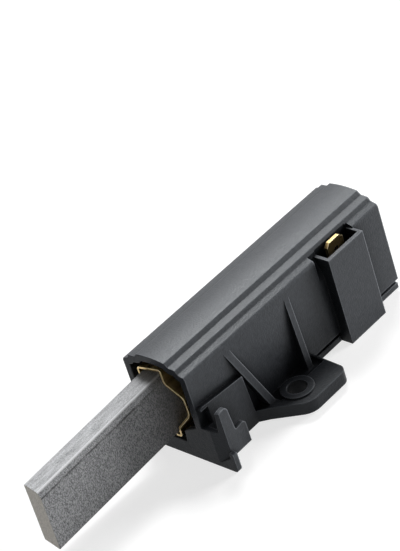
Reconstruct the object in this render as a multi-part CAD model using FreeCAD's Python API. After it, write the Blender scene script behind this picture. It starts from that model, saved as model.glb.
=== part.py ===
import FreeCAD, Part

import math
import os

from FreeCAD import Vector

# Carbon brush in its holder, millimetres, +Z up.
# X runs along the holder with +X towards the brush's contact face.
# Y = 0 is the holder's middle plane, with +Y towards the mounting ear.
# Z = 0 is the flat base, and X = 0 is level with the ear's screw hole.

# Holder shell
front_x = 21.6
shell_length = 58.7
shell_half_width = 8.3
shell_wall = 1.5
rear_wall = 1.5

# Stepped roof, each side going down from the arched top to the side wall
roof_z = 23.1
roof_half = 3.7
roof_arch_rise = 0.5
roof_arch_radius = 23.0
upper_slope_run = 0.7
upper_slope_drop = 0.8
upper_ledge_width = 1.8
upper_ledge_fall = 0.15
lower_slope_run = 0.45
lower_slope_drop = 0.8
lower_ledge_width = 1.4
lower_ledge_fall = 0.45
eave_run = 0.25
eave_drop = 0.5
roof_edge_radius = 0.35
step_edge_radius = 0.2

# Base cover and the rebate that it closes
cover_thickness = 1.2
cover_half_width = 7.85
rebate_height = 1.1
rebate_depth = 1.0
cover_lip_height = 1.6
cover_lip_wall = 1.0
fit_gap = 0.1

# Mounting ear with its screw hole and ring
ear_bottom_z = 0.65
ear_thickness = 2.75
ear_reach = 18.1
ear_front_root_x = 8.8
ear_shoulder_x = 7.2
ear_shoulder_y = 11.1
ear_shoulder_radius = 2.0
ear_sweep_end_x = 2.2
ear_sweep_radius = 3.9
ear_rear_x = -9.05
ear_rear_root_x = -9.7
ear_corner_radius = 2.0
ear_hole_y = 12.75
ear_hole_radius = 2.1
ear_ring_radius = 3.5
ear_ring_height = 0.4
ear_recess_depth = 0.5
ear_recess_y = 12.0
ear_recess_margin = 0.7
ear_front_web = 1.7

# Gussets above the ear
gusset_top_z = 18.8
gusset_root = 0.2
front_gusset_top_x = 11.1
front_gusset_foot_x = 5.9
front_gusset_thickness = 1.7
front_gusset_reach = 2.75
rear_gusset_top_x = -6.9
rear_gusset_foot_x = -5.7
rear_gusset_thickness = 1.4
rear_gusset_reach = 2.4

# Side pad in front of the ear
pad_proud = 1.05
pad_front_x = 21.1
pad_front_top_z = 13.6
pad_rear_top_z = 12.55
pad_nose_run = 0.5
pad_nose_drop = 0.5
pad_nose_radius = 0.2
pad_recess_x = 19.2
pad_recess_top_z = 12.8
pad_rear_x = 9.3

# Front plate below the mouth, and the catch beside it
plate_thickness = 1.15
plate_sill_z = 3.5
plate_step_y = 2.7
plate_step_z = 6.5
plate_shoulder_y = 8.0
plate_top_z = 8.8
plate_horn_z = 12.9
plate_horn_width = 1.5
plate_step_run = 0.4
plate_shoulder_radius = 0.8
plate_inner_radius = 0.5
plate_tip_radius = 0.3
catch_outer_y = 14.0
catch_wall = 1.0
catch_top_z = 13.9
catch_upright_length = 2.9
catch_length = 6.2
catch_rear_top_z = 8.3
catch_notch_z = 7.9
catch_bottom_z = 3.0
catch_floor = 1.2
catch_bevel_start_y = 10.5
catch_bevel_depth = 0.7
catch_bevel_low_z = 1.0
catch_bevel_high_z = 3.2
catch_upright_fall = 0.2
catch_front_radius = 1.3
catch_rear_radius = 0.9
catch_notch_run = 0.5
catch_notch_radius = 0.3
spur_reach = 1.05
spur_height = 4.25
spur_rise = 0.3
spur_radius = 0.7

# Terminal shroud on the side
shroud_front_x = -18.5
shroud_length = 10.7
shroud_outer_y = 10.75
shroud_rim_z = 20.55
shroud_front_wall = 0.75
shroud_side_wall = 0.85
shroud_rear_wall = 0.6
ledge_gap = 1.5
ledge_gap_slant = 4.7
pocket_inner_y = 6.55
pocket_floor_z = 9.5
pocket_floor_thickness = 1.5
pocket_inner_wall = 0.9

# Brass guide sleeve, an open channel folded from sheet
sheet = 0.4
sleeve_length = 38.0
guide_tilt = 1.5
sleeve_left_y = -4.87
sleeve_right_y = 1.85
sleeve_top_left_z = 19.75
sleeve_top_right_z = 20.9
sleeve_bottom_z = 4.23
sleeve_lip = 1.6
sleeve_bend = 0.75
bulge_root_z = 17.6
bulge_foot_z = 6.45
bulge_foot_step = 0.1
bulge_reach = 6.15
bulge_top_z = 15.3
bulge_turn_z = 10.9
bulge_root_radius = 1.2
bulge_top_radius = 1.6
bulge_turn_radius = 3.0
bulge_foot_radius = 1.0
sleeve_roof_bend = 0.5
bulkhead_thickness = 1.4
bulkhead_inset = 7.1
bulkhead_rear_margin = 2.4

# Carbon brush
brush_thickness = 5.0
brush_height = 13.5
brush_length = 40.0
brush_exposed = 34.5
brush_y = -1.4
brush_z = 12.14
brush_droop = 2.73
brush_chamfer = 0.9
brush_edge_radius = 0.2
face_rake = 3.7
face_skew = 8.0

# Pressure spring
spring_radius = 2.1
spring_wire_radius = 0.25
spring_turns = 12
spring_sides = 10
spring_wire_sides = 8
spring_end_gap = 0.02

# Terminal with blade, arm and spring seat
blade_width = 4.8
blade_thickness = 0.8
blade_centre_x = -24.05
blade_outer_y = 7.8
blade_top_z = 21.4
blade_corner = 0.9
blade_hole_radius = 0.7
blade_hole_drop = 2.5
blade_root = 1.0
leg_margin = 0.6
seat_x = -20.5
seat_left_y = -4.6
seat_right_y = 3.9
seat_top_z = 17.6
seat_nub_height = 1.8
seat_nub_radius = 1.5

# Flexible lead between the brush and the terminal, drops from the brush's top
lead_radius = 0.75
lead_exit_y = -0.4
lead_exit_drop = 2.85
lead_run_y = 2.75
lead_run_drop = 4.75
lead_first_bend = 1.8
lead_second_bend = 6.0
lead_bend_radius = 2.0
plug_radius = 1.4
plug_depth = 3.2
plug_recess = 0.1
plug_margin = 0.5
crimp_wall = 0.4
crimp_length = 2.8
crimp_slit = 0.6

# Length by which cutting bodies run past the surfaces they cut
overcut = 1.0

# Sizes that follow from the ones above
roof_peak_z = roof_z + roof_arch_rise
shell_rear_x = front_x - shell_length
sill_top_z = cover_thickness + rebate_height
ear_top_z = ear_bottom_z + ear_thickness
seat_back_x = seat_x - blade_thickness
sleeve_rear_x = front_x - sleeve_length
bulkhead_x = (
    front_x - bulkhead_inset,
    front_x - sleeve_length / 2,
    sleeve_rear_x + bulkhead_rear_margin,
)
arm_top_z = pocket_floor_z - pocket_floor_thickness - fit_gap
blade_inner_y = blade_outer_y - blade_thickness
guide_slope = math.tan(math.radians(guide_tilt))
shroud_rear_x = shroud_front_x - shroud_length
shroud_inner_y = pocket_inner_y - pocket_inner_wall
riser_foot_y = roof_half + upper_slope_run + upper_ledge_width + lower_slope_run
lead_exit_height = brush_height / 2 - lead_exit_drop
lead_run_height = brush_height / 2 - lead_run_drop


def box(x0, x1, y0, y1, z0, z1):
    """Box between two corners."""
    return Part.makeBox(x1 - x0, y1 - y0, z1 - z0, Vector(x0, y0, z0))


def rounded_wire(corners, place, closed=True):
    """Lines joined by tangent arcs, through corners given as (a, b, radius)."""
    points = [place(a, b) for a, b, radius in corners]
    count = len(points)
    joints = []
    for i, (a, b, radius) in enumerate(corners):
        here = points[i]
        if radius == 0 or not (closed or 0 < i < count - 1):
            joints.append((here, here, here))
            continue
        back = (points[i - 1] - here).normalize()
        ahead = (points[(i + 1) % count] - here).normalize()
        half = back.getAngle(ahead) / 2
        run = radius / math.tan(half)
        middle = (back + ahead).normalize() * (radius / math.sin(half) - radius)
        joints.append((here + back * run, here + middle, here + ahead * run))
    edges = []
    for i, (start, middle, end) in enumerate(joints):
        if (end - start).Length > 0.001:
            edges.append(Part.Arc(start, middle, end).toShape())
        if closed or i + 1 < count:
            edges.append(Part.LineSegment(end, joints[(i + 1) % count][0]).toShape())
    return Part.Wire(edges)


def prism(wire, direction):
    """Closed flat outline swept straight along a direction."""
    return Part.Face(wire).extrude(direction)


def across(x):
    """Placing rule for outlines drawn as (y, z) in the plane at x."""
    return lambda y, z: Vector(x, y, z)


def beside(y):
    """Placing rule for outlines drawn as (x, z) in the plane at y."""
    return lambda x, z: Vector(x, y, z)


def above(z):
    """Placing rule for outlines drawn as (x, y) in the plane at z."""
    return lambda x, y: Vector(x, y, z)


def guide_rise(x):
    """How far the tilted guide line has risen at x, counted from the mouth."""
    return (front_x - x) * guide_slope


def along_guide(length):
    """Step of a given run towards the rear, along the tilted guide line."""
    return Vector(-length, 0, length * guide_slope)


def shell_wire(bottom_z):
    """Closed stepped outline of the shell in the plane of the mouth."""
    steps = [
        (upper_slope_run, upper_slope_drop),
        (upper_ledge_width, upper_ledge_fall),
        (lower_slope_run, lower_slope_drop),
        (lower_ledge_width, lower_ledge_fall),
        (eave_run, eave_drop),
    ]
    y, z = roof_half, roof_z
    right = [(y, z, roof_edge_radius)]
    for run, drop in steps:
        y, z = y + run, z - drop
        right.append((y, z, step_edge_radius))
    right.append((y, bottom_z, 0))
    left = [(-y, z, radius) for y, z, radius in reversed(right)]
    peak = [(0, roof_peak_z, roof_arch_radius)]
    return rounded_wire(peak + right + left, across(front_x))


def shell_solid():
    """Outer shell with its stepped roof, and the rebate under its side walls."""
    outer = prism(shell_wire(sill_top_z), Vector(-shell_length, 0, 0))
    skirt_half = shell_half_width - rebate_depth
    skirt = box(shell_rear_x, front_x, -skirt_half, skirt_half, cover_thickness, sill_top_z)
    return outer.fuse(skirt)


def cavity_solid():
    """Space inside the shell, open at the front and below, closed at the rear."""
    inner = shell_wire(sill_top_z - 3 * shell_wall).makeOffset2D(-shell_wall, 2)
    cavity = prism(inner, Vector(rear_wall - shell_length, 0, 0))
    return cavity.fuse(prism(inner, Vector(overcut, 0, 0)))


def ear_solid():
    """Ear with its swept front edge, round rear corner, recess and screw ring."""
    root_y = shell_half_width - rebate_depth
    corners = [
        (ear_front_root_x, root_y, 0),
        (ear_front_root_x, shell_half_width + pad_proud, 0),
        (ear_shoulder_x, ear_shoulder_y, ear_shoulder_radius),
        (ear_sweep_end_x, ear_reach, ear_sweep_radius),
        (ear_rear_x, ear_reach, ear_corner_radius),
        (ear_rear_root_x, root_y, 0),
    ]
    ear = prism(rounded_wire(corners, above(ear_bottom_z)), Vector(0, 0, ear_thickness))
    floor_z = ear_top_z - ear_recess_depth
    recess = box(
        ear_rear_root_x + ear_recess_margin, front_gusset_foot_x - ear_front_web,
        shell_half_width, ear_recess_y, floor_z, ear_top_z + overcut,
    )
    ring_height = ear_recess_depth + ear_ring_height
    ring = Part.makeCylinder(ear_ring_radius, ring_height, Vector(0, ear_hole_y, floor_z))
    return ear.cut(recess).fuse(ring)


def ear_hole():
    """Screw hole through the ear and its ring."""
    start = Vector(0, ear_hole_y, ear_bottom_z - overcut)
    return Part.makeCylinder(ear_hole_radius, ear_thickness + ear_ring_height + 2 * overcut, start)


def gusset(top_x, foot_x, thickness, reach):
    """Triangular web between the side wall and the ear, leaning along the wall."""
    root_y = shell_half_width - shell_wall / 2
    foot_z = ear_top_z - ear_recess_depth - gusset_root
    points = [
        Vector(top_x, root_y, gusset_top_z),
        Vector(foot_x, root_y, foot_z),
        Vector(foot_x, shell_half_width + reach, foot_z),
        Vector(top_x, shell_half_width, gusset_top_z),
    ]
    return prism(Part.makePolygon(points + points[:1]), Vector(-thickness, 0, 0))


def pad_solid():
    """Side pad standing proud of the wall, hollowed under its front edge."""
    corners = [
        (pad_front_x, ear_bottom_z, 0),
        (pad_front_x, pad_front_top_z - pad_nose_drop, pad_nose_radius),
        (pad_front_x - pad_nose_run, pad_front_top_z, pad_nose_radius),
        (pad_rear_x, pad_rear_top_z, 0),
        (ear_front_root_x, ear_top_z, 0),
        (ear_front_root_x, ear_bottom_z, 0),
    ]
    inner_y = shell_half_width - rebate_depth
    outer_y = shell_half_width + pad_proud
    pad = prism(rounded_wire(corners, beside(inner_y)), Vector(0, outer_y - inner_y, 0))
    recess = box(
        pad_recess_x, front_x, shell_half_width, outer_y + overcut, plate_top_z, pad_recess_top_z
    )
    return pad.cut(recess)


def front_plate():
    """Plate across the front below the mouth, with the spur at its outer corner."""
    spur_y = catch_outer_y + spur_reach
    corners = [
        (-shell_half_width, 0, 0),
        (spur_y, 0, spur_radius),
        (spur_y, spur_height, spur_radius / 2),
        (catch_outer_y, spur_height + spur_rise, 0),
        (catch_outer_y, plate_horn_z, plate_inner_radius),
        (catch_outer_y - catch_wall, plate_horn_z, plate_tip_radius),
        (catch_outer_y - plate_horn_width, plate_top_z, plate_inner_radius),
        (plate_shoulder_y, plate_top_z, plate_shoulder_radius),
        (plate_step_y + plate_step_run, plate_step_z, plate_tip_radius),
        (plate_step_y, plate_sill_z, 0),
        (-shell_half_width, plate_sill_z, 0),
    ]
    return prism(rounded_wire(corners, across(front_x)), Vector(-plate_thickness, 0, 0))


def catch_side():
    """Outer wall of the catch: an upright, a notch and a lower rear part, on a floor."""
    rear_x = front_x - catch_length
    upright_x = front_x - catch_upright_length
    corners = [
        (front_x, catch_bottom_z, 0),
        (front_x, catch_top_z - catch_upright_fall, catch_front_radius),
        (upright_x, catch_top_z, catch_rear_radius),
        (upright_x - catch_notch_run, catch_notch_z, catch_notch_radius),
        (rear_x, catch_rear_top_z, catch_rear_radius),
        (rear_x, catch_bottom_z, 0),
    ]
    inner_y = catch_outer_y - catch_wall
    side = prism(rounded_wire(corners, beside(inner_y)), Vector(0, catch_wall, 0))
    floor = box(
        rear_x, front_x - plate_thickness / 2, shell_half_width - shell_wall / 2, inner_y + catch_wall / 2,
        catch_bottom_z, catch_bottom_z + catch_floor,
    )
    return side.fuse(floor)


def catch_bevel():
    """Wedge that slants the outer part of the front plate and the catch's front edge."""
    outer_y = catch_outer_y + fit_gap
    points = [
        Vector(front_x, catch_bevel_start_y, catch_bevel_low_z),
        Vector(front_x + overcut, catch_bevel_start_y, catch_bevel_low_z),
        Vector(front_x + overcut, outer_y, catch_bevel_high_z),
        Vector(front_x - catch_bevel_depth, outer_y, catch_bevel_high_z),
    ]
    return prism(Part.makePolygon(points + points[:1]), Vector(0, 0, catch_top_z))


def shroud_block():
    """Solid terminal shroud before it is hollowed, with the thicker wall in front of it."""
    block = box(shroud_rear_x, shroud_front_x, shroud_inner_y, shroud_outer_y, 0, shroud_rim_z)
    backing = box(
        shroud_front_x, shroud_front_x + ledge_gap + pocket_inner_wall, shroud_inner_y,
        shell_half_width - shell_wall / 2, pocket_floor_z, shroud_rim_z - shell_wall,
    )
    return block.fuse(backing)


def ledge_cut():
    """Waste over the shroud's rim, and the slanted notch between ledge and shroud."""
    gap_x = shroud_front_x + ledge_gap
    outer_y = shroud_outer_y + overcut
    above_rim = box(shroud_rear_x, gap_x, riser_foot_y, outer_y, shroud_rim_z, roof_z)
    points = [
        Vector(shroud_front_x, riser_foot_y, shroud_rim_z),
        Vector(shroud_front_x, outer_y, shroud_rim_z),
        Vector(shroud_front_x, outer_y, shroud_rim_z - ledge_gap_slant),
        Vector(shroud_front_x, shell_half_width, shroud_rim_z - ledge_gap_slant),
    ]
    return above_rim.fuse(prism(Part.makePolygon(points + points[:1]), Vector(ledge_gap, 0, 0)))


def shroud_hollow():
    """Pocket above and below the shroud's floor, with the blade's slot between them."""
    x0 = shroud_rear_x + shroud_rear_wall
    x1 = shroud_front_x - shroud_front_wall
    y1 = shroud_outer_y - shroud_side_wall
    half = blade_width / 2 + fit_gap
    upper = box(x0, x1, pocket_inner_y, y1, pocket_floor_z, roof_z)
    lower = box(x0, x1, pocket_inner_y, y1, -overcut, pocket_floor_z - pocket_floor_thickness)
    slot = box(
        blade_centre_x - half, blade_centre_x + half, blade_inner_y - fit_gap, blade_outer_y + fit_gap,
        0, roof_z,
    )
    return upper.fuse([lower, slot])


def arm_slot():
    """Slot that lets the terminal's arm into the shroud from below."""
    return box(
        seat_back_x - blade_thickness, seat_x + fit_gap, seat_right_y, blade_outer_y + fit_gap,
        -overcut, arm_top_z + fit_gap,
    )


def sleeve_corners():
    """Outer line of the folded sheet, from one turned-in lip round to the other."""
    return [
        (sleeve_left_y + sleeve_lip, sleeve_bottom_z, 0),
        (sleeve_left_y, sleeve_bottom_z, sleeve_bend),
        (sleeve_left_y, sleeve_top_left_z, sleeve_bend),
        (sleeve_right_y, sleeve_top_right_z, sleeve_roof_bend),
        (sleeve_right_y, bulge_root_z, bulge_root_radius),
        (bulge_reach, bulge_top_z, bulge_top_radius),
        (bulge_reach, bulge_turn_z, bulge_turn_radius),
        (sleeve_right_y - bulge_foot_step, bulge_foot_z, bulge_foot_radius),
        (sleeve_right_y - bulge_foot_step, sleeve_bottom_z, sleeve_bend),
        (sleeve_right_y - bulge_foot_step - sleeve_lip, sleeve_bottom_z, 0),
    ]


def guide_sleeve():
    """Brass channel that guides the brush, with its side bulge for the lead."""
    line = rounded_wire(sleeve_corners(), across(front_x), closed=False)
    band = line.makeOffset2D(sheet, 2, True, True)
    return band.extrude(along_guide(sleeve_length))


def sleeve_room():
    """Room for the sleeve in the housing, open downwards so it goes in from below."""
    outline = rounded_wire(sleeve_corners(), across(front_x)).makeOffset2D(fit_gap, 2)
    room = prism(outline, along_guide(sleeve_length + fit_gap))
    below = box(
        sleeve_rear_x, front_x - plate_thickness, sleeve_left_y - fit_gap, bulge_reach + fit_gap,
        0, bulge_turn_z + overcut,
    )
    return room.fuse(below)


def bulkheads():
    """Cross walls inside the shell: three for the sleeve, one behind the terminal."""
    middles = list(bulkhead_x) + [seat_back_x - fit_gap - bulkhead_thickness / 2]
    walls = []
    for middle in middles:
        x0 = middle - bulkhead_thickness / 2
        walls.append(
            box(x0, x0 + bulkhead_thickness, -shell_half_width, shell_half_width, sill_top_z, roof_z)
        )
    return walls


def housing():
    """Holder moulding: shell, mouth, ear, gussets, pad, plate, catch and shroud."""
    cavity = cavity_solid()
    outside = [
        ear_solid(),
        gusset(front_gusset_top_x, front_gusset_foot_x, front_gusset_thickness, front_gusset_reach),
        gusset(rear_gusset_top_x, rear_gusset_foot_x, rear_gusset_thickness, rear_gusset_reach),
        pad_solid(),
        catch_side(),
    ]
    body = shell_solid().fuse(outside).cut(cavity)
    cover_room = box(
        shell_rear_x - overcut, front_x - plate_thickness, -cover_half_width - fit_gap,
        cover_half_width + fit_gap, -overcut, cover_thickness,
    )
    body = body.cut(cover_room)
    walls = [wall.common(cavity) for wall in bulkheads()]
    body = body.fuse([front_plate(), shroud_block()] + walls)
    body = body.cut([
        sleeve_room(), ledge_cut(), shroud_hollow(), arm_slot(), ear_hole(), catch_bevel(),
    ])
    return body.removeSplitter()


def base_cover():
    """Flat base cover with a locating lip and saddles under the sleeve."""
    front = front_x - plate_thickness - fit_gap
    plate = box(shell_rear_x, front, -cover_half_width, cover_half_width, 0, cover_thickness)
    lip_half = shell_half_width - shell_wall - fit_gap
    lip_top = cover_thickness + cover_lip_height
    rear = shell_rear_x + rear_wall + fit_gap
    inner_half = lip_half - cover_lip_wall
    lip = box(rear, front, -lip_half, lip_half, 0, lip_top)
    inner = box(
        rear + cover_lip_wall, front - cover_lip_wall, -inner_half, inner_half,
        cover_thickness, lip_top + overcut,
    )
    cross_slots = []
    saddles = []
    for middle in bulkhead_x:
        x0 = middle - bulkhead_thickness / 2
        x1 = middle + bulkhead_thickness / 2
        cross_slots.append(
            box(
                x0 - fit_gap, x1 + fit_gap, -lip_half, lip_half,
                sill_top_z - fit_gap, lip_top + overcut,
            )
        )
        saddles.append(
            box(
                x0, x1, sleeve_left_y + sleeve_bend, sleeve_right_y - 2 * sleeve_bend,
                0, sleeve_bottom_z + guide_rise(x1),
            )
        )
    thrust_x = seat_back_x - fit_gap
    cross_slots.append(
        box(
            thrust_x - bulkhead_thickness - fit_gap, seat_x + fit_gap, -lip_half, lip_half,
            cover_thickness, lip_top + overcut,
        )
    )
    shroud_room = box(
        shroud_rear_x - fit_gap, shroud_front_x + fit_gap, shroud_inner_y - fit_gap, shroud_outer_y,
        -overcut, lip_top + overcut,
    )
    cover = plate.fuse(lip.cut(inner)).cut(cross_slots).fuse(saddles)
    return cover.cut(shroud_room).removeSplitter()


def brush_place(shape):
    """Move a solid drawn along +X from the mouth into the drooping brush's position."""
    shape.rotate(Vector(0, 0, 0), Vector(0, 1, 0), brush_droop)
    shape.translate(Vector(front_x, brush_y, brush_z))
    return shape


def brush_rear():
    """Middle of the brush's rear face."""
    run = brush_length - brush_exposed
    droop = math.radians(brush_droop)
    return Vector(front_x - run * math.cos(droop), brush_y, brush_z + run * math.sin(droop))


def face_wedge():
    """Waste beyond the brush's raked and skewed contact face."""
    half_t = brush_thickness
    half_h = brush_height
    rake = math.tan(math.radians(face_rake))
    skew = math.tan(math.radians(face_skew))

    def face_x(y, z):
        low_z, near_y = -brush_height / 2, brush_thickness / 2
        return brush_exposed - (z - low_z) * rake - (near_y - y) * skew

    corners = [(-half_t, -half_h), (half_t, -half_h), (half_t, half_h), (-half_t, half_h)]
    points = [Vector(face_x(y, z), y, z) for y, z in corners]
    return prism(Part.makePolygon(points + points[:1]), Vector(brush_height, 0, 0))


def carbon_brush():
    """Carbon block with one chamfered edge, a worn contact face and its lead hole."""
    half_t = brush_thickness / 2
    half_h = brush_height / 2
    rear = brush_exposed - brush_length
    corners = [
        (-half_t, -half_h, brush_edge_radius),
        (half_t, -half_h, brush_edge_radius),
        (half_t, half_h - brush_chamfer, 0),
        (half_t - brush_chamfer, half_h, 0),
        (-half_t, half_h, brush_edge_radius),
    ]
    block = prism(rounded_wire(corners, across(rear)), Vector(brush_length, 0, 0))
    return brush_place(block.cut(face_wedge())).cut(plug_solid())


def lead_point(x, offset):
    """Point of the lead at x, moved sideways towards its run by an offset."""
    run_y, run_z = lead_run_y - lead_exit_y, lead_run_height - lead_exit_height
    reach = math.hypot(run_y, run_z)
    rear = brush_rear()
    rise = (rear.x - x) * guide_slope
    return Vector(
        x, lead_exit_y + offset * run_y / reach, rear.z + lead_exit_height + rise + offset * run_z / reach
    )


def start_circle(path, radius):
    """Circle square to a path at its start."""
    first = path.Edges[0]
    start = first.FirstParameter
    return Part.Circle(first.valueAt(start), first.tangentAt(start), radius)


def shunt_lead():
    """Flexible lead from the brush's rear face, stepping aside to the bulge channel."""
    rear_x = brush_rear().x
    reach = math.hypot(lead_run_y - lead_exit_y, lead_run_height - lead_exit_height)
    corners = [
        (rear_x + plug_depth - plug_margin, 0, 0),
        (rear_x - lead_first_bend, 0, lead_bend_radius),
        (rear_x - lead_second_bend, reach, lead_bend_radius),
        (seat_x + lead_radius * guide_slope, reach, 0),
    ]
    path = rounded_wire(corners, lead_point, closed=False)
    return path.makePipe(Part.Face(Part.Wire(start_circle(path, lead_radius).toShape())))


def plug_solid():
    """Round hole in the brush's rear that takes the lead and its packing."""
    start = lead_point(brush_rear().x - overcut, 0)
    end = lead_point(brush_rear().x + plug_depth, 0)
    return Part.makeCylinder(plug_radius, (end - start).Length, start, end - start)


def shunt_tamping(lead):
    """Packed powder plug that holds the lead in the brush."""
    rear = brush_exposed - brush_length + plug_recess
    waste = box(
        rear - plug_depth, rear, -brush_thickness, brush_thickness, -brush_height / 2, brush_height
    )
    return plug_solid().cut(brush_place(waste)).cut(lead)


def pressure_spring():
    """Round-wire compression spring between the brush and the seat."""
    rear = brush_rear()
    clear = spring_wire_radius + spring_end_gap
    start_x = seat_x + clear
    end_x = rear.x - clear - (spring_radius + spring_wire_radius) * math.sin(math.radians(brush_droop))
    axis = Vector(1, 0, -guide_slope).normalize()
    length = (end_x - start_x) / axis.x
    points = []
    for i in range(spring_turns * spring_sides + 1):
        angle = 2 * math.pi * i / spring_sides
        height = length * i / (spring_turns * spring_sides)
        points.append(Vector(spring_radius * math.cos(angle), spring_radius * math.sin(angle), height))
    path = Part.makePolygon(points)
    circle = start_circle(path, spring_wire_radius)
    section = [circle.value(2 * math.pi * i / spring_wire_sides) for i in range(spring_wire_sides)]
    spring = path.makePipeShell([Part.makePolygon(section + section[:1])], True, False, 1)
    turn = FreeCAD.Rotation(Vector(0, 0, 1), axis)
    origin = Vector(start_x, rear.y, rear.z + (rear.x - start_x) * guide_slope)
    spring.Placement = FreeCAD.Placement(origin, turn)
    return spring


def crimp_barrel():
    """Open barrel on the spring seat, closed round the lead's end."""
    reach = math.hypot(lead_run_y - lead_exit_y, lead_run_height - lead_exit_height)
    start = lead_point(seat_x - blade_thickness / 2, reach)
    end = lead_point(seat_x + crimp_length, reach)
    run = end - start
    barrel = Part.makeCylinder(lead_radius + crimp_wall, run.Length, start, run)
    bore_start = lead_point(seat_x, reach)
    bore = Part.makeCylinder(lead_radius, run.Length, bore_start, run)
    half = crimp_slit / 2
    slit = box(
        seat_x, seat_x + crimp_length + overcut, start.y - half, start.y + half,
        start.z, start.z + 2 * crimp_length,
    )
    return barrel.cut(bore).cut(slit)


def terminal():
    """Stamped brass terminal: spring seat, arm, upright blade and crimp barrel."""
    rear = brush_rear()
    seat = box(seat_back_x, seat_x, seat_left_y, seat_right_y, cover_thickness, seat_top_z)
    leg_rear = blade_centre_x - blade_width / 2 - leg_margin
    plan = [
        (seat_x, seat_left_y, 0),
        (seat_x, blade_outer_y, 2 * blade_thickness),
        (leg_rear, blade_outer_y, 0),
        (leg_rear, blade_inner_y, 0),
        (seat_back_x, blade_inner_y, blade_thickness),
        (seat_back_x, seat_left_y, 0),
    ]
    arm = prism(rounded_wire(plan, above(cover_thickness)), Vector(0, 0, arm_top_z - cover_thickness))
    half = blade_width / 2
    outline = [
        (blade_centre_x - half, arm_top_z - blade_root, 0),
        (blade_centre_x - half, blade_top_z - blade_corner, 0),
        (blade_centre_x - half + blade_corner, blade_top_z, 0),
        (blade_centre_x + half - blade_corner, blade_top_z, 0),
        (blade_centre_x + half, blade_top_z - blade_corner, 0),
        (blade_centre_x + half, arm_top_z - blade_root, 0),
    ]
    blade = prism(rounded_wire(outline, beside(blade_inner_y)), Vector(0, blade_thickness, 0))
    hole = Part.makeCylinder(
        blade_hole_radius, blade_thickness + 2 * overcut,
        Vector(blade_centre_x, blade_inner_y - overcut, blade_top_z - blade_hole_drop), Vector(0, 1, 0),
    )
    nub_z = rear.z + (rear.x - seat_x) * guide_slope
    nub = Part.makeCylinder(seat_nub_radius, seat_nub_height, Vector(seat_x, rear.y, nub_z), Vector(1, 0, 0))
    body = seat.fuse([arm, blade, nub, crimp_barrel()])
    return body.cut(hole).removeSplitter()


def build():
    """Make every piece and write it out."""
    lead = shunt_lead()
    pieces = {
        "housing": housing(),
        "base_cover": base_cover(),
        "guide_sleeve": guide_sleeve(),
        "terminal": terminal(),
        "carbon_brush": carbon_brush(),
        "shunt_tamping": shunt_tamping(lead),
        "shunt_lead": lead,
        "pressure_spring": pressure_spring(),
    }
    os.makedirs("parts", exist_ok=True)
    for name, shape in pieces.items():
        shape.exportStep("parts/" + name + ".step")


build()
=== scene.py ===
import math

import bmesh
import bpy
from mathutils import Matrix, Vector


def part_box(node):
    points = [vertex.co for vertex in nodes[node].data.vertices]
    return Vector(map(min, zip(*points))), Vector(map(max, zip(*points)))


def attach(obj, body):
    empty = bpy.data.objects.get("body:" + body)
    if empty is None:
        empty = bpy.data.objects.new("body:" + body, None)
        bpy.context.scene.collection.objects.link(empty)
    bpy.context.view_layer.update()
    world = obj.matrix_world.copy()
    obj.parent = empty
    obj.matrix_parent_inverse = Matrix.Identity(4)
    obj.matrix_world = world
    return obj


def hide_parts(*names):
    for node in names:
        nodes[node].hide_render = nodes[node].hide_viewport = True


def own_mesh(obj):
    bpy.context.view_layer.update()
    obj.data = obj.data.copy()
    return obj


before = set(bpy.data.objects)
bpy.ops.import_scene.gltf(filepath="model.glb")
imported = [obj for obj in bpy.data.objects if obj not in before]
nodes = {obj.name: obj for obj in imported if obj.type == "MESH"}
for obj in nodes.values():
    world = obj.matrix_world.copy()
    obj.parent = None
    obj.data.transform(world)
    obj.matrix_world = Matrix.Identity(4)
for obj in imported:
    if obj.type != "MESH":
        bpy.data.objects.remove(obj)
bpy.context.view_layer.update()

# Lengths are in metres, angles in radians and light powers in watts.

# Camera: its place, and how it is turned about the vertical, upwards and about its own line of sight
CAMERA_PLACE = (0.23733, 0.30806, 0.28583)
CAMERA_AZIMUTH = math.radians(52.8626)
CAMERA_ELEVATION = math.radians(33.4756)
CAMERA_ROLL = math.radians(-18.5611)
FOCAL_LENGTH = 159.5
SENSOR_WIDTH = 36.0
CLIP_START = 0.01

# Square lights: (name, place, width, power)
LIGHTS = [
    ("key", (-0.32, -0.42, 0.60), 0.32, 1.8),
    ("top", (-0.34, -0.26, 0.67), 0.20, 4.2),
    ("rear_side", (-0.72, 0.28, 0.20), 0.30, 7.0),
    ("front_fill", (0.75, 0.10, 0.20), 0.40, 0.6),
]
LIGHT_TARGET = Vector((0.0, 0.0, 0.01))
SKY_LIGHT = 0.06
SKY_SEEN = 1.0

# Floor: grey with a glow where it is seen or mirrored, which looks white with a soft shadow, else pale
FLOOR_SIZE = 3.0
FLOOR_DROP = 0.00002
FLOOR_SEEN_COLOUR = (0.38, 0.38, 0.38)
FLOOR_GLOW = 0.72
FLOOR_BOUNCE_COLOUR = (0.75, 0.75, 0.75)
FLOOR_ROUGHNESS = 0.9
FLOOR_SPECULAR = 0.1

# Guide: the brush slides in along this direction
GUIDE_TILT = math.radians(1.5)

# Brush: its droop towards the tip, its height and the flat along its near top edge
BRUSH_DROOP = math.radians(2.73)
BRUSH_HEIGHT = 0.0135
BRUSH_CHAMFER = 0.0009

# Coil spring, drawn again with a smooth round wire
COIL_TURNS = 12
COIL_RADIUS = 0.0021
STEPS_PER_TURN = 48
WIRE_RADIUS = 0.00025
WIRE_SIDES = 8


# Material building blocks

# Colour sockets of Blender's Mix node
MIX_FIRST = 6
MIX_LAST = 7
MIX_RESULT = 2

# A noise's middle, and the range that most of its values lie in
NOISE_MIDDLE = 0.5
NOISE_RANGE = (0.3, 0.7)

# Share of a line's width at its full strength
LINE_CORE = 0.3

# Share of free directions at which a corner is at its darkest
CORNER_OPENNESS = 0.6

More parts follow.
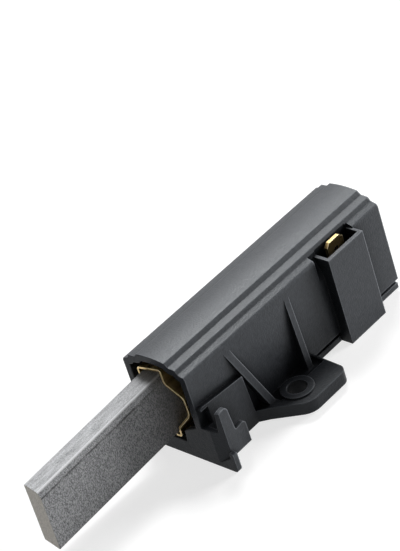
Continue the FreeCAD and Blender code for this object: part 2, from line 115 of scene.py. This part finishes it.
# Rays that look for near faces and for rounded edges
NEARNESS_SAMPLES = 8
BEVEL_SAMPLES = 6


class Surface:
    """A node material that is built up in steps on one principled shader."""

    def __init__(self, name):
        self.material = bpy.data.materials.new(name)
        self.material.use_nodes = True
        self.nodes = self.material.node_tree.nodes
        self.links = self.material.node_tree.links
        self.shader = self.nodes["Principled BSDF"]
        self.place = self.nodes.new("ShaderNodeTexCoord")

    def link(self, value, socket):
        """Joins an output to an input, or sets the input to a plain value."""
        if hasattr(value, "links"):
            self.links.new(value, socket)
        else:
            socket.default_value = value

    def noise(self, scale, stretch=(1, 1, 1), detail=3.0, roughness=0.5):
        """Noise over the object's own metres, stretched along each axis."""
        mapping = self.nodes.new("ShaderNodeMapping")
        mapping.inputs["Scale"].default_value = stretch
        texture = self.nodes.new("ShaderNodeTexNoise")
        texture.inputs["Scale"].default_value = scale
        texture.inputs["Detail"].default_value = detail
        texture.inputs["Roughness"].default_value = roughness
        self.links.new(self.place.outputs["Object"], mapping.inputs["Vector"])
        self.links.new(mapping.outputs["Vector"], texture.inputs["Vector"])
        return texture.outputs["Fac"]

    def axis(self, letter, source="Object"):
        """One coordinate of the object's own metres, or of its surface direction."""
        split = self.nodes.new("ShaderNodeSeparateXYZ")
        self.links.new(self.place.outputs[source], split.inputs[0])
        return split.outputs[letter]

    def math(self, operation, first, second=0.0):
        """Arithmetic on one or two values."""
        node = self.nodes.new("ShaderNodeMath")
        node.operation = operation
        self.link(first, node.inputs[0])
        self.link(second, node.inputs[1])
        return node.outputs[0]

    def times(self, first, second):
        """Product of two values."""
        return self.math("MULTIPLY", first, second)

    def weighed(self, first, first_weight, second, second_weight):
        """Sum of two values, each times its weight."""
        return self.math("ADD", self.times(first, first_weight), self.times(second, second_weight))

    def spread(self, value, low, high, first, last):
        """Maps a value from one range to another, held at its ends."""
        node = self.nodes.new("ShaderNodeMapRange")
        node.clamp = True
        self.link(value, node.inputs["Value"])
        ends = {"From Min": low, "From Max": high, "To Min": first, "To Max": last}
        for name, number in ends.items():
            self.link(number, node.inputs[name])
        return node.outputs["Result"]

    def vary(self, noise, low, high):
        """Number that follows a noise softly from low to high."""
        return self.spread(noise, *NOISE_RANGE, low, high)

    def blend(self, share, first, last):
        """Colour between two colours."""
        node = self.nodes.new("ShaderNodeMix")
        node.data_type = "RGBA"
        self.link(share, node.inputs["Factor"])
        for value, socket in ((first, MIX_FIRST), (last, MIX_LAST)):
            self.link(value if hasattr(value, "links") else (*value, 1.0), node.inputs[socket])
        return node.outputs[MIX_RESULT]

    def tones(self, noise, half_range, dark, light):
        """Colour that goes from dark to light as a noise rises through its middle."""
        share = self.spread(noise, NOISE_MIDDLE - half_range, NOISE_MIDDLE + half_range, 0.0, 1.0)
        return self.blend(share, dark, light)

    def facing(self, letter, low, high, aside=0.0, along=1.0):
        """Goes from one value to another as the surface turns to look along an axis."""
        return self.spread(self.axis(letter, "Normal"), low, high, aside, along)

    def line(self, value, middle, width):
        """One where a value is at its middle, falling to zero one width away."""
        off = self.math("ABSOLUTE", self.math("SUBTRACT", value, middle))
        return self.spread(off, LINE_CORE * width, width, 1.0, 0.0)

    def nearness(self, reach, inside):
        """Share of the directions that are free of other faces within reach."""
        node = self.nodes.new("ShaderNodeAmbientOcclusion")
        node.samples = NEARNESS_SAMPLES
        node.inside = inside
        node.only_local = True
        node.inputs["Distance"].default_value = reach
        return node.outputs["AO"]

    def corner_share(self, reach):
        """One deep in a corner, zero on an open face."""
        return self.spread(self.nearness(reach, False), CORNER_OPENNESS, 1.0, 1.0, 0.0)

    def edge_share(self, reach, low, high):
        """One on a sharp outer edge, zero on a broad face."""
        return self.spread(self.nearness(reach, True), low, high, 1.0, 0.0)

    def relief(self, height, depth, edge_radius):
        """Bump over softly rounded edges."""
        edge = self.nodes.new("ShaderNodeBevel")
        edge.samples = BEVEL_SAMPLES
        edge.inputs["Radius"].default_value = edge_radius
        bump = self.nodes.new("ShaderNodeBump")
        bump.inputs["Distance"].default_value = depth
        self.link(height, bump.inputs["Height"])
        self.links.new(edge.outputs["Normal"], bump.inputs["Normal"])
        self.links.new(bump.outputs["Normal"], self.shader.inputs["Normal"])

    def finish(self, colour, roughness, metallic=0.0, specular=0.5):
        """Sets the shader's main inputs and gives the material back."""
        self.link(colour, self.shader.inputs["Base Color"])
        self.link(roughness, self.shader.inputs["Roughness"])
        self.link(metallic, self.shader.inputs["Metallic"])
        self.link(specular, self.shader.inputs["Specular IOR Level"])
        return self.material


def paint(obj, material):
    """Gives an object one material."""
    obj.data.materials.clear()
    obj.data.materials.append(material)


def darker(colour, share):
    """A colour at a share of its brightness."""
    return [share * value for value in colour]


# Moulded plastic. A turn is the range of the surface's direction over which one tone gives way to another.

PLASTIC_DARK = (0.021, 0.0235, 0.028)
PLASTIC_LIGHT = (0.036, 0.039, 0.0455)
# The pale edge colour is a painted highlight along sharp outer edges.
PLASTIC_EDGE_HIGHLIGHT = (0.15, 0.16, 0.178)
PLASTIC_SHEEN = (0.93, 0.975, 1.0, 1.0)
PLASTIC_ROUGHNESS = (0.37, 0.47)
PLASTIC_SPECULAR = 0.34
# Specular where shade is painted.
SHADED_SPECULAR = 0.10
# Brightness of the painted shade on front faces and in corners, as shares of the dark tone.
FRONT_SHADE_BRIGHTNESS = 0.85
CORNER_SHADE_BRIGHTNESS = 0.25
PLASTIC_CONTRAST = 0.15
PLASTIC_MOTTLE = {"scale": 1100, "detail": 4.0, "roughness": 0.65}
PLASTIC_GRAIN = {"scale": 2800}
PLASTIC_DEPTH = 0.00006
PLASTIC_EDGE_RADIUS = 0.0003
# Turn into the painted shade on faces that look forward along X.
FRONT_SHADE_TURN = (0.72, 0.95)
# Reach and range of the painted edge highlight.
EDGE_HIGHLIGHT_REACH = 0.00035
EDGE_HIGHLIGHT_RANGE = (0.5, 0.92)
# Reach of the painted corner shade.
CORNER_SHADE_REACH = 0.008

# Shade round the ear: its share, the heights it fades between and the distances along the wall
EAR_SHADE = 0.68
EAR_SHADE_LOW = 0.003
EAR_SHADE_HIGH = 0.015
EAR_SHADE_NEAR = 0.015
EAR_SHADE_FAR = 0.018


def ear_shade(surface):
    """Share of shade low on the holder near the ear, at the origin, fading upwards and along the wall."""
    upwards = surface.spread(surface.axis("Z"), EAR_SHADE_LOW, EAR_SHADE_HIGH, EAR_SHADE, 0.0)
    off_ear = surface.math("ABSOLUTE", surface.axis("X"))
    return surface.times(upwards, surface.spread(off_ear, EAR_SHADE_NEAR, EAR_SHADE_FAR, 1.0, 0.0))


def moulded_plastic(name):
    """Dark filled plastic: mottled, with a painted highlight along its edges and painted shade in its
    corners, round the ear and on its front, where the specular is lowered too.
    """
    surface = Surface(name)
    mottle = surface.noise(**PLASTIC_MOTTLE)
    # ahead is one on faces that look forward along X, which get painted shade.
    ahead = surface.facing("X", *FRONT_SHADE_TURN)
    # Painted shade in corners and low round the ear.
    corner_shade = surface.math("MAXIMUM", surface.corner_share(CORNER_SHADE_REACH), ear_shade(surface))
    colour = surface.tones(mottle, PLASTIC_CONTRAST, PLASTIC_DARK, PLASTIC_LIGHT)
    # Painted highlight: pale colour along sharp outer edges.
    colour = surface.blend(surface.edge_share(EDGE_HIGHLIGHT_REACH, *EDGE_HIGHLIGHT_RANGE), colour, PLASTIC_EDGE_HIGHLIGHT)
    colour = surface.blend(ahead, colour, darker(PLASTIC_DARK, FRONT_SHADE_BRIGHTNESS))
    colour = surface.blend(corner_shade, colour, darker(PLASTIC_DARK, CORNER_SHADE_BRIGHTNESS))
    # Where shade is painted, the specular is lowered too.
    shaded = surface.math("MAXIMUM", ahead, corner_shade)
    specular = surface.spread(shaded, 0.0, 1.0, PLASTIC_SPECULAR, SHADED_SPECULAR)
    surface.relief(surface.noise(**PLASTIC_GRAIN), PLASTIC_DEPTH, PLASTIC_EDGE_RADIUS)
    surface.shader.inputs["Specular Tint"].default_value = PLASTIC_SHEEN
    return surface.finish(colour, surface.vary(mottle, *PLASTIC_ROUGHNESS), specular=specular)


# Metals: colours are (dark, light)

SLEEVE_BRASS = ((0.44, 0.30, 0.11), (0.62, 0.46, 0.20))
TERMINAL_BRASS = ((0.34, 0.235, 0.09), (0.50, 0.37, 0.17))
# Bright edge colour: partly bare cut metal, partly a painted highlight.
BRASS_CUT_EDGE_AND_HIGHLIGHT = (0.95, 0.84, 0.58)
BRASS_EDGE_REACH = 0.0002
BRASS_EDGE_RANGE = (0.4, 0.8)
BRASS_ROUGHNESS = (0.26, 0.38)
BRASS_METALLIC = 0.95
BRASS_LINES = {"scale": 900, "stretch": (0.1, 1, 1)}
BRASS_DEPTH = 0.000002
BRASS_EDGE_RADIUS = 0.00012

COPPER_POWDER = ((0.30, 0.15, 0.08), (0.42, 0.22, 0.12))
COPPER_BRAID = ((0.50, 0.24, 0.12), (0.70, 0.38, 0.22))
SPRING_STEEL = ((0.35, 0.35, 0.37), (0.50, 0.50, 0.52))
METAL_NOISE = {"scale": 1500}
METAL_CONTRAST = 0.2
METAL_DEPTH = 0.00001
METAL_EDGE_RADIUS = 0.00004
METAL_ROUGHNESS_RANGE = 0.12


def sheet_brass(name, dark, light):
    """Stamped brass sheet with faint rolling lines and bright cut edges, whose brightness is partly a
    painted highlight.
    """
    surface = Surface(name)
    lines = surface.noise(**BRASS_LINES)
    cut_edge_and_highlight = surface.edge_share(BRASS_EDGE_REACH, *BRASS_EDGE_RANGE)
    colour = surface.tones(lines, METAL_CONTRAST, dark, light)
    # Bright cut edges, partly a painted highlight.
    colour = surface.blend(cut_edge_and_highlight, colour, BRASS_CUT_EDGE_AND_HIGHLIGHT)
    surface.relief(lines, BRASS_DEPTH, BRASS_EDGE_RADIUS)
    return surface.finish(colour, surface.vary(lines, *BRASS_ROUGHNESS), metallic=BRASS_METALLIC)


def plain_metal(name, dark, light, roughness):
    """Metal with a light variation of tone."""
    surface = Surface(name)
    noise = surface.noise(**METAL_NOISE)
    colour = surface.tones(noise, METAL_CONTRAST, dark, light)
    surface.relief(noise, METAL_DEPTH, METAL_EDGE_RADIUS)
    roughness = surface.vary(noise, roughness, roughness + METAL_ROUGHNESS_RANGE)
    return surface.finish(colour, roughness, metallic=1.0)


# Pressed carbon: colours are (dark, light) where a grain varies them

CARBON_SIDE = ((0.08, 0.082, 0.087), (0.45, 0.455, 0.465))
# The top is lighter than the sides partly by its streaked finish and partly by painted light from above.
CARBON_STREAKED_LIT_TOP = ((0.20, 0.204, 0.212), (0.72, 0.73, 0.75))
CARBON_TIP = ((0.32, 0.30, 0.27), (0.58, 0.55, 0.50))
# Near-white colour of the painted highlight along the near top edge.
CARBON_EDGE_HIGHLIGHT = (0.90, 0.91, 0.93)
CARBON_DARK_LINE = (0.05, 0.05, 0.053)
# Colour of the painted shadow on the brush by the mouth.
CARBON_MOUTH_SHADOW = (0.09, 0.09, 0.095)
CARBON_ROUGHNESS = (0.50, 0.64)
CARBON_SPECULAR = 0.3
CARBON_CONTRAST = 0.12
CARBON_STREAKS = {"scale": 1500, "stretch": (0.16, 1, 1), "detail": 5.0, "roughness": 0.7}
CARBON_GRAIN = {"scale": 5200, "stretch": (1, 1, 0.45), "roughness": 0.8}
TOP_STREAKS = 0.4
TOP_GRAIN = 0.6
TOP_TURN = (0.75, 0.95)
TIP_TURN = (0.6, 0.8)
RELIEF_GRAIN = 0.7
RELIEF_STREAKS = 0.5
CARBON_DEPTH = 0.00006
CARBON_EDGE_RADIUS = 0.00012

# Painted highlight along the brush's near top edge, a dark line along its side, and the painted shadow
# that starts at the mouth
BRIGHT_LINE_WIDTH = 0.0003
BRIGHT_LINE_TURN = (0.3, 0.6)
BRIGHT_LINE_SHARE = 0.8
DARK_LINE_DROP = 1.3 * BRUSH_CHAMFER
DARK_LINE_WIDTH = 0.0003
DARK_LINE_BREAKS = (0.42, 0.55)
DARK_LINE_SHARE = (0.1, 0.9)
DARK_LINE_END_TURN = (0.3, 0.8)
MOUTH_SHADOW_SHARE = 0.6
MOUTH_SHADOW_START = 0.006
MOUTH_SHADOW_END = 0.0125


def edge_highlight_line(surface, near_y):
    """Share of the painted highlight along the near top edge."""
    line = surface.line(surface.axis("Y"), near_y - BRUSH_CHAMFER, BRIGHT_LINE_WIDTH)
    return surface.times(line, surface.facing("Z", *BRIGHT_LINE_TURN, 0.0, BRIGHT_LINE_SHARE))


def dark_side_line(surface, low, high, streaks):
    """Share of the broken dark line on the side, which keeps its distance from the drooping top edge."""
    slope = math.tan(BRUSH_DROOP)
    top_level = high.z + (low.x + BRUSH_HEIGHT * math.sin(BRUSH_DROOP)) * slope
    level = surface.math("ADD", surface.axis("Z"), surface.times(surface.axis("X"), slope))
    line = surface.line(level, top_level - DARK_LINE_DROP, DARK_LINE_WIDTH)
    broken = surface.times(line, surface.spread(streaks, *DARK_LINE_BREAKS, *DARK_LINE_SHARE))
    return surface.times(broken, surface.facing("Z", *DARK_LINE_END_TURN, 1.0, 0.0))


def graphite(name):
    """Pressed carbon: grained sides, a speckled top painted lighter than the sides, a painted shadow by
    the mouth and a tan contact face.
    """
    surface = Surface(name)
    low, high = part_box("carbon_brush")
    streaks = surface.noise(**CARBON_STREAKS)
    grain = surface.noise(**CARBON_GRAIN)
    top_grain = surface.weighed(streaks, TOP_STREAKS, grain, TOP_GRAIN)
    side = surface.tones(grain, CARBON_CONTRAST, *CARBON_SIDE)
    top = surface.tones(top_grain, CARBON_CONTRAST, *CARBON_STREAKED_LIT_TOP)
    tip = surface.tones(grain, CARBON_CONTRAST, *CARBON_TIP)
    # Painted shadow on the brush by the mouth, fading towards the tip.
    mouth_shadow = surface.spread(surface.axis("X"), low.x + MOUTH_SHADOW_START, low.x + MOUTH_SHADOW_END, MOUTH_SHADOW_SHARE, 0.0)
    # Top lighter than the sides: streaked finish and painted light from above.
    colour = surface.blend(surface.facing("Z", *TOP_TURN), side, top)
    # Painted highlight along the near top edge.
    colour = surface.blend(edge_highlight_line(surface, high.y), colour, CARBON_EDGE_HIGHLIGHT)
    colour = surface.blend(dark_side_line(surface, low, high, streaks), colour, CARBON_DARK_LINE)
    colour = surface.blend(mouth_shadow, colour, CARBON_MOUTH_SHADOW)
    colour = surface.blend(surface.facing("X", *TIP_TURN), colour, tip)
    height = surface.weighed(grain, RELIEF_GRAIN, streaks, RELIEF_STREAKS)
    surface.relief(height, CARBON_DEPTH, CARBON_EDGE_RADIUS)
    return surface.finish(colour, surface.vary(grain, *CARBON_ROUGHNESS), specular=CARBON_SPECULAR)


# Pieces drawn again

def new_piece(name, mesh, material):
    """Object for a finished mesh, in the scene, with smooth faces."""
    obj = bpy.data.objects.new(name, mesh)
    bpy.context.scene.collection.objects.link(obj)
    for polygon in mesh.polygons:
        polygon.use_smooth = True
    paint(obj, material)
    return obj


def tube_mesh(name, centres, radius, sides):
    """Round tube through a row of centres, closed at both ends."""
    mesh = bpy.data.meshes.new(name)
    last = len(centres) - 1
    points = []
    faces = []
    side = Vector((0, 1, 0))
    for i, centre in enumerate(centres):
        ahead = (centres[min(i + 1, last)] - centres[max(i - 1, 0)]).normalized()
        side = (side - ahead * side.dot(ahead)).normalized()
        other = ahead.cross(side)
        for k in range(sides):
            angle = 2 * math.pi * k / sides
            points.append(centre + (side * math.cos(angle) + other * math.sin(angle)) * radius)
    for i in range(last):
        for k in range(sides):
            first = i * sides + k
            second = i * sides + (k + 1) % sides
            faces.append((first, second, second + sides, first + sides))
    faces.append(tuple(range(sides))[::-1])
    faces.append(tuple(last * sides + k for k in range(sides)))
    mesh.from_pydata(points, [], faces)
    return mesh


def lead_part(name, body, cut_x, in_brush, material):
    """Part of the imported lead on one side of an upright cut."""
    mesh = nodes["shunt_lead"].data.copy()
    work = bmesh.new()
    work.from_mesh(mesh)
    bmesh.ops.bisect_plane(
        work,
        geom=work.verts[:] + work.edges[:] + work.faces[:],
        plane_co=(cut_x, 0, 0),
        plane_no=(1, 0, 0),
        clear_outer=not in_brush,
        clear_inner=in_brush,
    )
    bmesh.ops.holes_fill(work, edges=[edge for edge in work.edges if edge.is_boundary])
    work.to_mesh(mesh)
    work.free()
    part = new_piece(name, mesh, material)
    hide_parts("shunt_lead")
    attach(part, body)
    return part


def flexible_lead(material):
    """Lead cut where it leaves the brush: the part in the brush is attached to the brush, the free length
    to the holder.
    """
    cut_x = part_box("shunt_tamping")[0].x
    lead_part("lead_in_brush", "brush", cut_x, True, material)
    free = lead_part("lead_free_length", "holder", cut_x, False, material)
    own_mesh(free)


def coil_spring(material):
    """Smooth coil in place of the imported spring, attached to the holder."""
    low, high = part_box("pressure_spring")
    rear_x = low.x + 2 * WIRE_RADIUS
    front_x = high.x - 2 * WIRE_RADIUS
    rear_z = high.z - COIL_RADIUS - WIRE_RADIUS
    middle_y = (low.y + high.y) / 2
    length = front_x - rear_x
    steps = COIL_TURNS * STEPS_PER_TURN
    centres = []
    for i in range(steps + 1):
        angle = 2 * math.pi * i / STEPS_PER_TURN
        along = length * i / steps
        y = middle_y + COIL_RADIUS * math.cos(angle)
        z = rear_z - along * math.tan(GUIDE_TILT) + COIL_RADIUS * math.sin(angle)
        centres.append(Vector((rear_x + along, y, z)))
    mesh = tube_mesh("pressure_spring_coil", centres, WIRE_RADIUS, WIRE_SIDES)
    coil = new_piece("pressure_spring_coil", mesh, material)
    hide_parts("pressure_spring")
    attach(coil, "holder")
    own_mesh(coil)


# Surroundings

def light(name, place, width, power):
    """Square soft light aimed at the part."""
    data = bpy.data.lights.new(name, "AREA")
    data.shape = "SQUARE"
    data.size = width
    data.energy = power
    obj = bpy.data.objects.new(name, data)
    obj.location = place
    obj.rotation_euler = (LIGHT_TARGET - Vector(place)).to_track_quat("-Z", "Y").to_euler()
    bpy.context.scene.collection.objects.link(obj)


def seen_share(tree):
    """One where a ray is seen directly, mirrored or through glass, else zero."""
    ray = tree.nodes.new("ShaderNodeLightPath")
    share = ray.outputs["Is Camera Ray"]
    for name in ("Is Glossy Ray", "Is Transmission Ray"):
        largest = tree.nodes.new("ShaderNodeMath")
        largest.operation = "MAXIMUM"
        tree.links.new(share, largest.inputs[0])
        tree.links.new(ray.outputs[name], largest.inputs[1])
        share = largest.outputs[0]
    return share


def sky():
    """White surroundings where they are seen, and a softer light from all sides."""
    world = bpy.data.worlds.new("studio")
    world.use_nodes = True
    bpy.context.scene.world = world
    tree = world.node_tree
    background = tree.nodes["Background"]
    background.inputs["Color"].default_value = (1, 1, 1, 1)
    strength = tree.nodes.new("ShaderNodeMapRange")
    strength.inputs["To Min"].default_value = SKY_LIGHT
    strength.inputs["To Max"].default_value = SKY_SEEN
    tree.links.new(seen_share(tree), strength.inputs["Value"])
    tree.links.new(strength.outputs["Result"], background.inputs["Strength"])


def floor():
    """Plain pale floor under the part."""
    half = FLOOR_SIZE / 2
    corners = [(-half, -half, 0), (half, -half, 0), (half, half, 0), (-half, half, 0)]
    mesh = bpy.data.meshes.new("floor")
    mesh.from_pydata(corners, [], [(0, 1, 2, 3)])
    surface = Surface("floor")
    seen = seen_share(surface.material.node_tree)
    colour = surface.blend(seen, FLOOR_BOUNCE_COLOUR, FLOOR_SEEN_COLOUR)
    surface.shader.inputs["Emission Color"].default_value = (1, 1, 1, 1)
    surface.link(surface.times(seen, FLOOR_GLOW), surface.shader.inputs["Emission Strength"])
    obj = new_piece("floor", mesh, surface.finish(colour, FLOOR_ROUGHNESS, specular=FLOOR_SPECULAR))
    obj.location.z = -FLOOR_DROP


def camera_turn():
    """Turn of a camera that looks at the part from its azimuth and elevation, rolled by its roll."""
    back_x = math.cos(CAMERA_ELEVATION) * math.cos(CAMERA_AZIMUTH)
    back_y = math.cos(CAMERA_ELEVATION) * math.sin(CAMERA_AZIMUTH)
    back = Vector((back_x, back_y, math.sin(CAMERA_ELEVATION)))
    level = Vector((-math.sin(CAMERA_AZIMUTH), math.cos(CAMERA_AZIMUTH), 0))
    right = level * math.cos(CAMERA_ROLL) + back.cross(level) * math.sin(CAMERA_ROLL)
    return Matrix((right, back.cross(right), back)).transposed().to_4x4()


def camera():
    """Camera at the photo's angle."""
    data = bpy.data.cameras.new("camera")
    data.lens = FOCAL_LENGTH
    data.sensor_width = SENSOR_WIDTH
    data.clip_start = CLIP_START
    obj = bpy.data.objects.new("camera", data)
    obj.matrix_world = Matrix.Translation(CAMERA_PLACE) @ camera_turn()
    bpy.context.scene.collection.objects.link(obj)
    bpy.context.scene.camera = obj


# Scene

paint(nodes["housing"], moulded_plastic("holder_plastic"))
paint(nodes["base_cover"], moulded_plastic("cover_plastic"))
paint(nodes["guide_sleeve"], sheet_brass("sheet_brass", *SLEEVE_BRASS))
paint(nodes["terminal"], sheet_brass("terminal_brass", *TERMINAL_BRASS))
paint(nodes["carbon_brush"], graphite("graphite"))
paint(nodes["shunt_tamping"], plain_metal("tamping_powder", *COPPER_POWDER, roughness=0.6))
flexible_lead(plain_metal("copper_braid", *COPPER_BRAID, roughness=0.35))
coil_spring(plain_metal("spring_steel", *SPRING_STEEL, roughness=0.3))

for values in LIGHTS:
    light(*values)
sky()
floor()
camera()

scene = bpy.context.scene
scene.view_settings.view_transform = "Standard"
